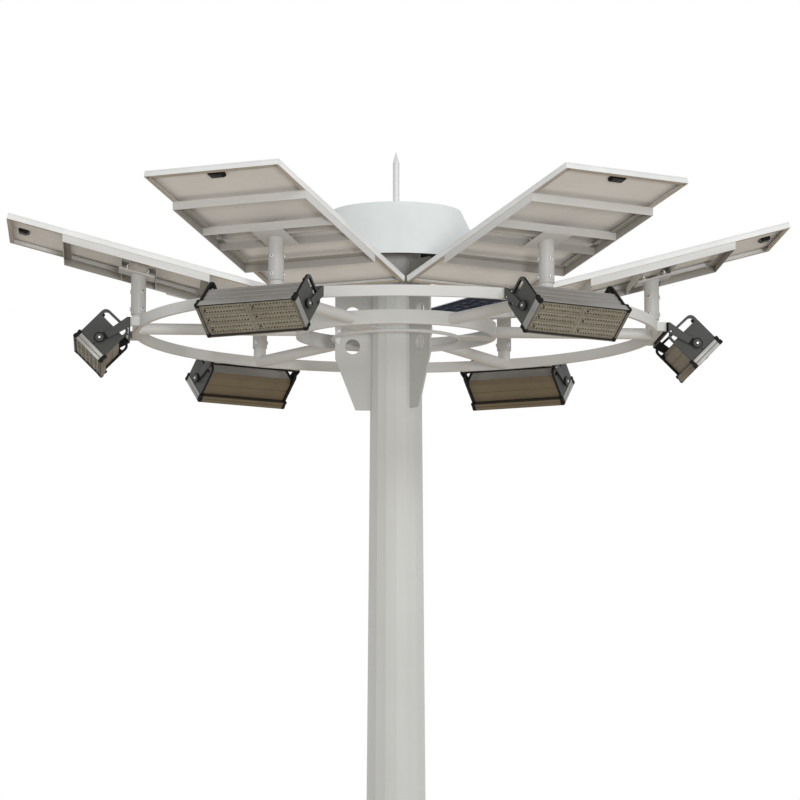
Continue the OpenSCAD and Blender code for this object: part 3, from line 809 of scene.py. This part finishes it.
def lamp_ends(coat, edge, steel):
    """Cast end plates with their handle loops, the tilt washers and the bolts."""
    ends = Piece("lamp_ends", coat, edge, steel)
    plate = rounded([(LAMP_BACK_X, -0.095, 0.006), (LAMP_BACK_X, 0.100, 0.008),
                     (-0.150, 0.100, 0.034), (-0.155, -0.095, 0.034)], 6)
    handle_slot = rounded([(-0.101, -0.081, 0.005), (-0.101, 0.081, 0.007),
                           (-0.136, 0.081, 0.022), (-0.140, -0.081, 0.022)])
    for s in (-1, 1):
        y = s * END_Y
        ends.outline(plate, lambda u, v: (u, y, v), (0, -s * END_T, 0), PAINT, 0.0022, [handle_slot])

    def outer_face(normal, at, _):
        """The plates' outer faces carry the coat; their edges and insides are near black: painted shade.
        """
        return PAINT if abs(normal.y) > 0.9 and abs(at.y) > END_Y - 0.001 else EDGE

    ends.tint(outer_face)
    for s in (-1, 1):
        y, out = s * END_Y, (0, s, 0)
        # spacer, pin, dark disc with a raised land, and the bright head of the tilt bolt; the spacer and
        # the disc's rim are near black: painted shade
        ends.round((0, y - s * 0.001, 0), out, 0.020, 0.0088, 32, EDGE, 0.001)
        ends.round((0, y, 0), out, 0.0059, 0.013, 20, STEEL)
        ends.round((0, s * (TONGUE_OUT + 0.0005), 0), out, 0.030, 0.0065, 40, EDGE, 0.0012)
        ends.round((0, s * (TONGUE_OUT + 0.0070), 0), out, 0.0235, 0.0014, 40, PAINT, 0.0005)
        ends.bolt((0, s * (TONGUE_OUT + 0.0084), 0), out, 0.0125, STEEL, washer=False)
        # stop lug at mid height of the front edge, and the rubber bumper in the handle's corner
        ends.round((0.0435, y - s * 0.0004, -0.001), out, 0.0042, 0.0022, 16, EDGE, 0.0006)
        for shift, radius, depth in ((0.003, 0.0085, 0.014), (-0.011, 0.0110, 0.004)):
            start = s * (END_Y - END_T + shift)
            ends.round((-0.108, start, 0.079), (0, -s, 0), radius, depth, 20, EDGE, 0.0015)
    ends.set_out(lamp_place, "floodlight_{}")


def bezel_rails(bezel):
    """Rails along the top and the bottom, with a near-black strip behind them: the gasket's edge, with
    painted shade.
    """
    back, front, half = LAMP_BACK_X, LAMP_FRONT_X, LAMP_L / 2
    run = half - 0.014
    # painted shade: the near-black lip is the rail's shadow on the board, the rails' undersides take the
    # darker alloy, and the step's dark top is the gasket joint with painted shade
    # front, step, rear, nose, lip: X from and to, inwards from and to, rounding, upper and lower finish
    parts = ((0.0755, front - 0.0040, 0.0, 0.0100, 0.0012, BODY, UNDER),
             (0.0700, 0.0770, 0.0040, 0.0120, 0.0005, GASKET_SHADE, UNDER),
             (back + 0.006, 0.0720, 0.0030, 0.0140, 0.0012, BODY, UNDER),
             (front - 0.0048, front - 0.0005, 0.0, 0.0046, 0.0008, STRIP, OLIVE),
             (front - 0.010, front - 0.0022, 0.0048, 0.0130, 0.0005, GASKET_SHADE, GASKET_SHADE))
    for s, z in ((-1, LAMP_LOW), (1, LAMP_HIGH)):
        for x0, x1, edge, inner, soften, upper, lower in parts:
            slot = upper if s > 0 else lower
            bezel.block((x0, -run, z - s * edge), (x1, run, z - s * inner), soften, slot)
        bezel.block((back, -half + 0.004, z - s * 0.007),
                    (back + 0.008, half - 0.004, z - s * 0.034), 0.001, GASKET_SHADE)


def bezel_ends(bezel):
    """Ribbed strips at both ends, and the two-lobed caps on the corners."""
    back, front = LAMP_BACK_X, LAMP_FRONT_X
    # painted shade: core, groove and lip are near black, between the ribs, by the end plate and along
    # the board
    # core, two ribs, groove, edge, lip: X from and to, inwards from and to, cut short, rounding, finish
    parts = ((back + 0.002, front - 0.002, 0.0030, 0.0120, 0.016, 0.0010, GASKET_SHADE),
             (0.0770, front - 0.0010, 0.0, 0.0110, 0.018, 0.0010, STRIP),
             (0.0530, 0.0750, 0.0008, 0.0110, 0.018, 0.0010, STRIP),
             (0.0740, 0.0780, 0.0025, 0.0110, 0.018, 0.0005, GASKET_SHADE),
             (front - 0.004, front - 0.0005, 0.0115, 0.0165, 0.014, 0.0006, OLIVE),
             (front - 0.012, front - 0.0022, 0.0160, 0.0180, 0.012, 0.0003, GASKET_SHADE))
    # two lobes and a web: X from and to, out and in from the end and from the rail, rounding, steps
    lobes = ((0.0740, front + 0.0010, 0.0026, 0.024, 0.0028, 0.026, 0.0072, 3),
             (0.0440, 0.0660, 0.0026, 0.022, 0.0010, 0.024, 0.0070, 3),
             (0.0560, 0.0800, 0.0010, 0.020, -0.0020, 0.024, 0.0020, 2))
    for s in (-1, 1):
        y = s * LAMP_L / 2
        for x0, x1, edge, inner, short, soften, slot in parts:
            bezel.block((x0, y - s * edge, LAMP_LOW + short),
                        (x1, y - s * inner, LAMP_HIGH - short), soften, slot)
        for t, z in ((-1, LAMP_LOW), (1, LAMP_HIGH)):
            for x0, x1, y_out, y_in, z_out, z_in, soften, steps in lobes:
                bezel.block((x0, y + s * y_out, z + t * z_out),
                            (x1, y - s * y_in, z - t * z_in), soften, CAP, steps)


def lamp_bezels(strip, cap, gasket_shade, olive, body, under):
    """The front's drawn rails, ribbed end strips, black corner caps and dark gasket lines, partly
    painted shade.
    """
    bezel = Piece("lamp_bezel", strip, cap, gasket_shade, olive, body, under)
    bezel_rails(bezel)
    bezel_ends(bezel)

    def olive_in_front(normal, at, slot):
        """Rails and strips are olive in front, but for the bright nose of the upper rail, a painted
        highlight.
        """
        forward = normal.x > 0.8 and slot in (STRIP, BODY)
        return OLIVE if forward and at.x > OLIVE_X and at.z < OLIVE_TOP else slot

    bezel.tint(olive_in_front)
    bezel.lay_uv("run", run_uv)
    bezel.set_out(lamp_place, "floodlight_{}", "lamp_front_{}")


def lamp_boards(board, lens, dark, screw, glint):
    """The recessed board: six modules with seams, lens rows, pale dots of painted highlight and dark
    screws.
    """
    half, x = LAMP_L / 2, LAMP_FRONT_X - 0.007
    face = Piece("lamp_board", board, lens, dark, screw, glint)
    face.block((LAMP_BACK_X + 0.002, -half + 0.010, LAMP_LOW + 0.010),
               (x - 0.0030, half - 0.010, LAMP_HIGH - 0.010), 0.0, SEAM)
    length, lenses, pitch, spread = 0.2900, 15, 0.0176, 0.0138
    domes, glints, screws = [], [], []
    for y0 in (-0.2915, 0.0015):
        for z0, z1 in ((0.0335, 0.0985), (-0.0285, 0.0305), (-0.0965, -0.0315)):
            face.block((x - 0.0035, y0, z0), (x - 0.0012, y0 + length, z1), 0.0006, BOARD)
            mid = (z0 + z1) / 2
            rows = [(y0 + 0.0240 + c * pitch, mid + r * spread) for r in (-1, 1) for c in range(lenses)]
            domes += [(x - 0.0004, y, z) for y, z in rows]
            # painted highlights: a pale dot beside each lens, up and to one side
            glints += [(x - 0.0008, y + 0.0076, z + 0.0048) for y, z in rows]
            screws.append((x - 0.0014, y0 + 0.0330, mid))
    face.domes(domes, (1, 0, 0), 0.0054, 0.0024, LENS)
    face.domes(glints, (1, 0, 0), 0.0030, 0.0012, GLINT)
    for centre in screws:
        face.round(centre, (1, 0, 0), 0.0062, 0.0026, 14, SCREW, 0.0006)
    face.lay_uv("run", lambda co: (co.y, co.z))
    face.set_out(lamp_place, "floodlight_{}")


def lamp_yokes(coat, edge, steel):
    """U-shaped bracket: back plate, two sloping arms with rounded edges and their tongues."""
    yoke = Piece("yoke_bracket", coat, edge)
    plate = rounded_box(-YOKE_OUT, YOKE_LOW, YOKE_OUT, YOKE_HIGH, 0.003, 3)
    slots = [rounded_box(c - 0.016, 0.0805, c + 0.016, 0.0945, 0.0065, 4) for c in (-0.212, 0.0, 0.212)]
    yoke.outline(plate, lambda u, v: (YOKE_BACK, u, v),
                 (YOKE_FACE - YOKE_BACK, 0, 0), PAINT, 0.0012, slots)
    arm = rounded([(YOKE_BACK, YOKE_LOW, 0.003), (-0.051, -0.003, 0.003),
                   (-0.029, 0.028, 0.003), (-0.119, 0.092, 0.004),
                   (-0.156, YOKE_HIGH, 0.004), (YOKE_BACK, YOKE_HIGH, 0.003)], 3)
    radius = 0.028
    arc = [math.radians(-106.6 + 10.66 * k) for k in range(21)]
    nose = [(radius * math.cos(a), radius * math.sin(a)) for a in arc]
    tongue = [(-0.052, -0.003), *nose, (-0.030, 0.028)]
    # the tongues are thin near-black plates inside the arms round the pivot: painted shadow along the
    # arms' tips
    limbs = ((arm, YOKE_OUT - YOKE_IN, PAINT, 0.0010), (tongue, 0.003, EDGE, 0.0005))
    for s in (-1, 1):
        for shape, thick, slot, soften in limbs:
            yoke.outline(shape, lambda u, v: (u, s * YOKE_IN, v), (0, s * thick, 0), slot, soften)

    def coated(normal, at, _):
        """The arms' outer sides and the plate's front carry the coat; the rest is near black: painted
        shade.
        """
        on_arm = abs(normal.y) > 0.9 and abs(at.y) > YOKE_OUT - 0.001
        on_plate = normal.x > 0.9 and abs(at.x - YOKE_FACE) < 0.001
        return PAINT if on_arm or on_plate else EDGE

    yoke.tint(coated)
    yoke.set_out(pivot_place, stands_for="lamp_yoke_{}")

    bolts = Piece("yoke_bolts", steel)
    for y in (-0.270, 0.270):
        bolts.bolt((YOKE_FACE, y, 0.090), (1, 0, 0), 0.017, shank=0.004)
    bolts.round((-0.151, -YOKE_OUT + 0.0003, 0.066), (0, -1, 0), 0.0040, 0.0020, 14, 0, 0.0006)
    bolts.set_out(pivot_place)


# ---------------------------------- mast

def cover_face(z):
    """Distance of the cover's flat from the mast's axis at a height."""
    width = MAST_FOOT_D - (MAST_FOOT_D - MAST_RING_D) * z / RING_Z
    return (width / 2 + COVER_OUT) * math.cos(math.radians(FLAT / 2))


def cover_fixings(steel):
    """Screws round the access cover and its two locks."""
    screws = Piece("cover_screws", steel)
    turn = Matrix.Rotation(COVER_TURN, 4, "Z")
    out = (turn @ Vector((1, 0, 0))).normalized()

    def spot(y, z):
        """A place on the cover's flat, z above its middle."""
        return turn @ Vector((cover_face(COVER_Z + z), y, 0)) + Vector((0, 0, COVER_Z + z))

    for z in (-0.180, 0.180):
        for y in (-0.030, 0.030):
            screws.bolt(spot(y, z), out, 0.011, washer=False)
    for z in (-0.090, 0.090):
        screws.round(spot(0, z), out, 0.012, 0.004, 24, 0, 0.001)
        screws.round(spot(0, z) + out * 0.004, out, 0.005, 0.003, 3, 0, 0.0004)
    screws.stand()


# ---------------------------------- dressing

def dress(node, material):
    """Gives a CAD node its finish."""
    mesh = NODES[node].data
    mesh.materials.clear()
    mesh.materials.append(material)


def dress_nodes(white):
    """Finishes of the CAD nodes that show."""
    for node in ("hub_ring", "arm_spider", "outer_ring", "access_cover", "base_flange"):
        dress(node, white)
    # painted shade: the fins under the drum take a darker copy of the frame's coat
    dress("hub_fins", sprayed_paint("fin_coat_painted_shade", (0.57, 0.57, 0.55), (0.52, 0.515, 0.495)))
    dress("mast_shaft", mast_paint())
    dress("drum_shell", drum_paint())
    dress("lightning_rod", rod_steel())


def build_pieces(white):
    """The pieces that stand for CAD nodes or are fixed to them, with their finishes."""
    bright = bolt_steel("zinc_bolts", (0.72, 0.72, 0.70), (0.90, 0.90, 0.88), 0.34)
    dark_steel = bolt_steel("blackened_bolts", (0.07, 0.07, 0.07), (0.12, 0.12, 0.12))
    charcoal = cast_coat("charcoal_coat", (0.062, 0.063, 0.061), 0.58, 0.3)
    # near black: rubber and black parts, and painted shade on edges and insides
    black_and_edge_shade = cast_coat("near_black_and_edge_shade", (0.007, 0.007, 0.007), 0.66, 0.2)
    black = black_plastic()

    side = drawn_aluminium("panel_rim_alloy", (0.94, 0.95, 0.94), 0.50, 0.04, 0.1)
    # painted shade for the rim's flange and glass shelf
    inner = drawn_aluminium("panel_rim_painted_shade", (0.58, 0.53, 0.46), 0.60, 0.0, 0.0)
    solar_rims(side, inner)
    gaps = sheet_white("cell_gaps", (0.22, 0.23, 0.24), 0.40)
    cells = cell_glass()
    back = sheet_white("back_sheet", (0.92, 0.90, 0.875), 0.60)
    solar_sheets(gaps, cells, back, black, dark_steel)
    # painted shade: the sleeve under the panel takes a darker copy of the frame's coat
    sleeve_shade = sprayed_paint("sleeve_coat_painted_shade", (0.63, 0.63, 0.615), (0.58, 0.575, 0.555))
    # painted shade inside the angles: two darker copies of the coat
    lips = sprayed_paint("angle_lip_shade", (0.40, 0.385, 0.355), (0.34, 0.325, 0.295), 0.55)
    webs = sprayed_paint("angle_web_shade", (0.47, 0.455, 0.43), (0.41, 0.395, 0.37), 0.55)
    panel_supports(white, sleeve_shade, lips, webs)
    support_fixings(bright, dark_steel)

    alloy = drawn_aluminium("lamp_body_alloy", (0.345, 0.332, 0.315), 0.48, 0.35)
    # painted shade below the lamps: a darker, warmer copy of the body alloy
    under = drawn_aluminium("lamp_alloy_shade_below", (0.218, 0.174, 0.116), 0.50, 0.10, 0.04)
    lamp_bodies(alloy, under)
    lamp_ends(charcoal, black_and_edge_shade, bright)
    strip = drawn_aluminium("lamp_strip_alloy", (0.37, 0.37, 0.35), 0.42, 0.45)
    # dark gasket, also used as painted shade in grooves and along the board
    gasket_shade = cast_coat("lamp_gasket_and_shade", (0.036, 0.031, 0.025), 0.6, 0.1)
    olive = board_olive("lamp_rim_olive", (0.170, 0.154, 0.122), (0.245, 0.228, 0.190), 0.5)
    lamp_bezels(strip, black, gasket_shade, olive, alloy, under)
    board = board_olive("lamp_board_olive", (0.240, 0.221, 0.178), (0.368, 0.346, 0.292))
    lens = diode_lens()
    seams = cast_coat("board_seams", (0.150, 0.136, 0.108), 0.6)
    lamp_boards(board, lens, seams, black, reflector_white())
    lamp_yokes(charcoal, black_and_edge_shade, bright)
    cover_fixings(bright)


# ---------------------------------- camera, lights and floor

def make_camera():
    """A long lens from well below the head, looking slightly up."""
    data = bpy.data.cameras.new("mast_camera")
    data.lens = 190.9
    data.sensor_width = 36.0
    data.clip_start, data.clip_end = 0.5, 500.0
    camera = link("mast_camera", data)
    side, distance, height = math.radians(-3.77), 24.077, 5.3753
    pitch, yaw = math.radians(7.635), math.radians(-0.053)
    camera.location = (distance * math.sin(side), -distance * math.cos(side), height)
    turn = side + yaw
    level = math.cos(pitch)
    look = Vector((-math.sin(turn) * level, math.cos(turn) * level, math.sin(pitch)))
    aim(camera, look)
    bpy.context.scene.camera = camera


def make_world():
    """Even sky fill behind a plain white backdrop."""
    world = bpy.data.worlds.new("studio")
    bpy.context.scene.world = world
    world.use_nodes = True
    sky = Shop(world.node_tree)
    fill = sky.node("ShaderNodeBackground", None, {"Color": (0.97, 0.99, 1.0, 1), "Strength": 0.66})
    plain = sky.node("ShaderNodeBackground", None, {"Color": (1, 1, 1, 1), "Strength": 1.0})
    sky.node("ShaderNodeOutputWorld", None, {"Surface": sky.backdrop(fill, plain)})


def make_floor():
    """A wide floor: near white where it shows, warm in the light it gives back."""
    bm = bmesh.new()
    bmesh.ops.create_circle(bm, cap_ends=True, segments=96, radius=60.0)
    mesh = bpy.data.meshes.new("floor")
    bm.to_mesh(mesh)
    bm.free()
    floor = link("floor", mesh)
    floor.location.z = -0.002
    material = bpy.data.materials.new("floor_pale")
    material.use_nodes = True
    ground = Shop(material.node_tree)
    lit = ground.node("ShaderNodeBsdfDiffuse", None, {"Color": (0.68, 0.61, 0.53, 1)})
    shown = ground.node("ShaderNodeBsdfDiffuse", None, {"Color": (0.60, 0.60, 0.60, 1)})
    glow = ground.node("ShaderNodeEmission", None, {"Strength": 0.50})
    pale = ground.node("ShaderNodeAddShader", None, {0: shown, 1: glow})
    ground.node("ShaderNodeOutputMaterial", None, {"Surface": ground.backdrop(lit, pale)})
    mesh.materials.append(material)


def add_sun(name, direction, strength, angle):
    """A white sun that shines along a direction; its angle, in degrees, softens the shadows."""
    light = bpy.data.lights.new(name, "SUN")
    light.energy, light.angle = strength, math.radians(angle)
    aim(link(name, light), direction)


make_camera()
frame_white = sprayed_paint("frame_white_coat", (0.715, 0.715, 0.70), (0.655, 0.65, 0.63))
dress_nodes(frame_white)
build_pieces(frame_white)
make_world()
make_floor()
add_sun("key", (-0.45, 0.82, -0.38), 0.45, 12.0)
add_sun("front", (-0.10, 0.99, 0.105), 0.75, 6.0)
bpy.context.scene.view_settings.view_transform = "Standard"
